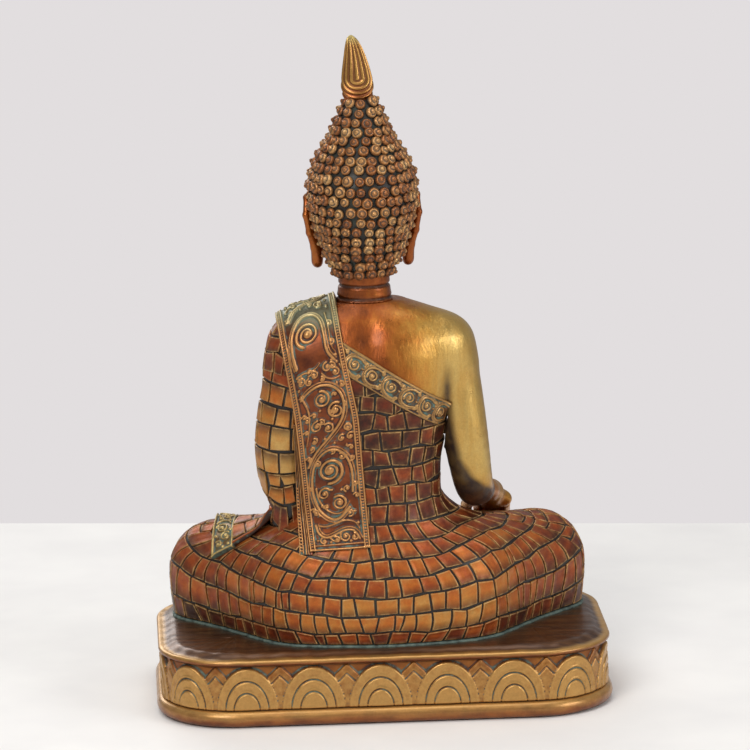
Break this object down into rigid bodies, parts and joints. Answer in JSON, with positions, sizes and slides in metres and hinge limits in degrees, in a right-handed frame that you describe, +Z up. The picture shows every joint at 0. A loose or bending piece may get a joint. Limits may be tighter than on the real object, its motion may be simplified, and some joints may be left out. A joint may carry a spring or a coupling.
{
  "type": "seated buddha statue",
  "caption": "Seated figure in earth-touching pose on a lotus-frieze plinth, robe finished as mosaic, snail-curl hair with a flame finial, in aged gold and copper paint.",
  "frame": {"origin": "middle of the statue's footprint, on the surface it stands on", "axes": "+Z up, the figure faces -Y and its left hand is towards +X"},
  "size_m": [0.204, 0.122, 0.3],
  "materials": {
    "felt": "dark green pressed felt",
    "board": "raw fibreboard",
    "plinth_paint": "dark copper-brown metallic paint on cast resin",
    "gold_paint": "antique gold metallic paint on cast resin, verdigris in the recesses",
    "plaster": "poured plaster",
    "dowel_wood": "beech dowel",
    "robe_paint": "copper to gold metallic paint on cast resin, dark grooves between mosaic tiles",
    "skin_paint": "brushed copper and gold metallic paint on cast resin",
    "steel": "plain steel pin",
    "hair_paint": "brown-gold metallic paint on cast resin, dark green in the recesses",
    "finial_paint": "pale gold metallic paint on cast resin"
  },
  "bodies": {
    "root": {"felt_pad": "felt", "base_board": "board", "plinth": "plinth_paint", "petal_frieze": "gold_paint", "ballast": "plaster", "base_dowels": "dowel_wood", "robed_figure": "robe_paint", "right_foot": "skin_paint", "left_arm": "robe_paint", "left_hand": "skin_paint", "sleeve_drape": "robe_paint", "drape_border": "gold_paint", "right_arm": "skin_paint", "shoulder_dowels": "steel", "shoulder_sash": "gold_paint", "robe_hem_band": "gold_paint", "head": "skin_paint", "neck_dowel": "steel", "hair_cap": "hair_paint", "finial": "finial_paint", "finial_pin": "steel"}
  },
  "joints": []
}
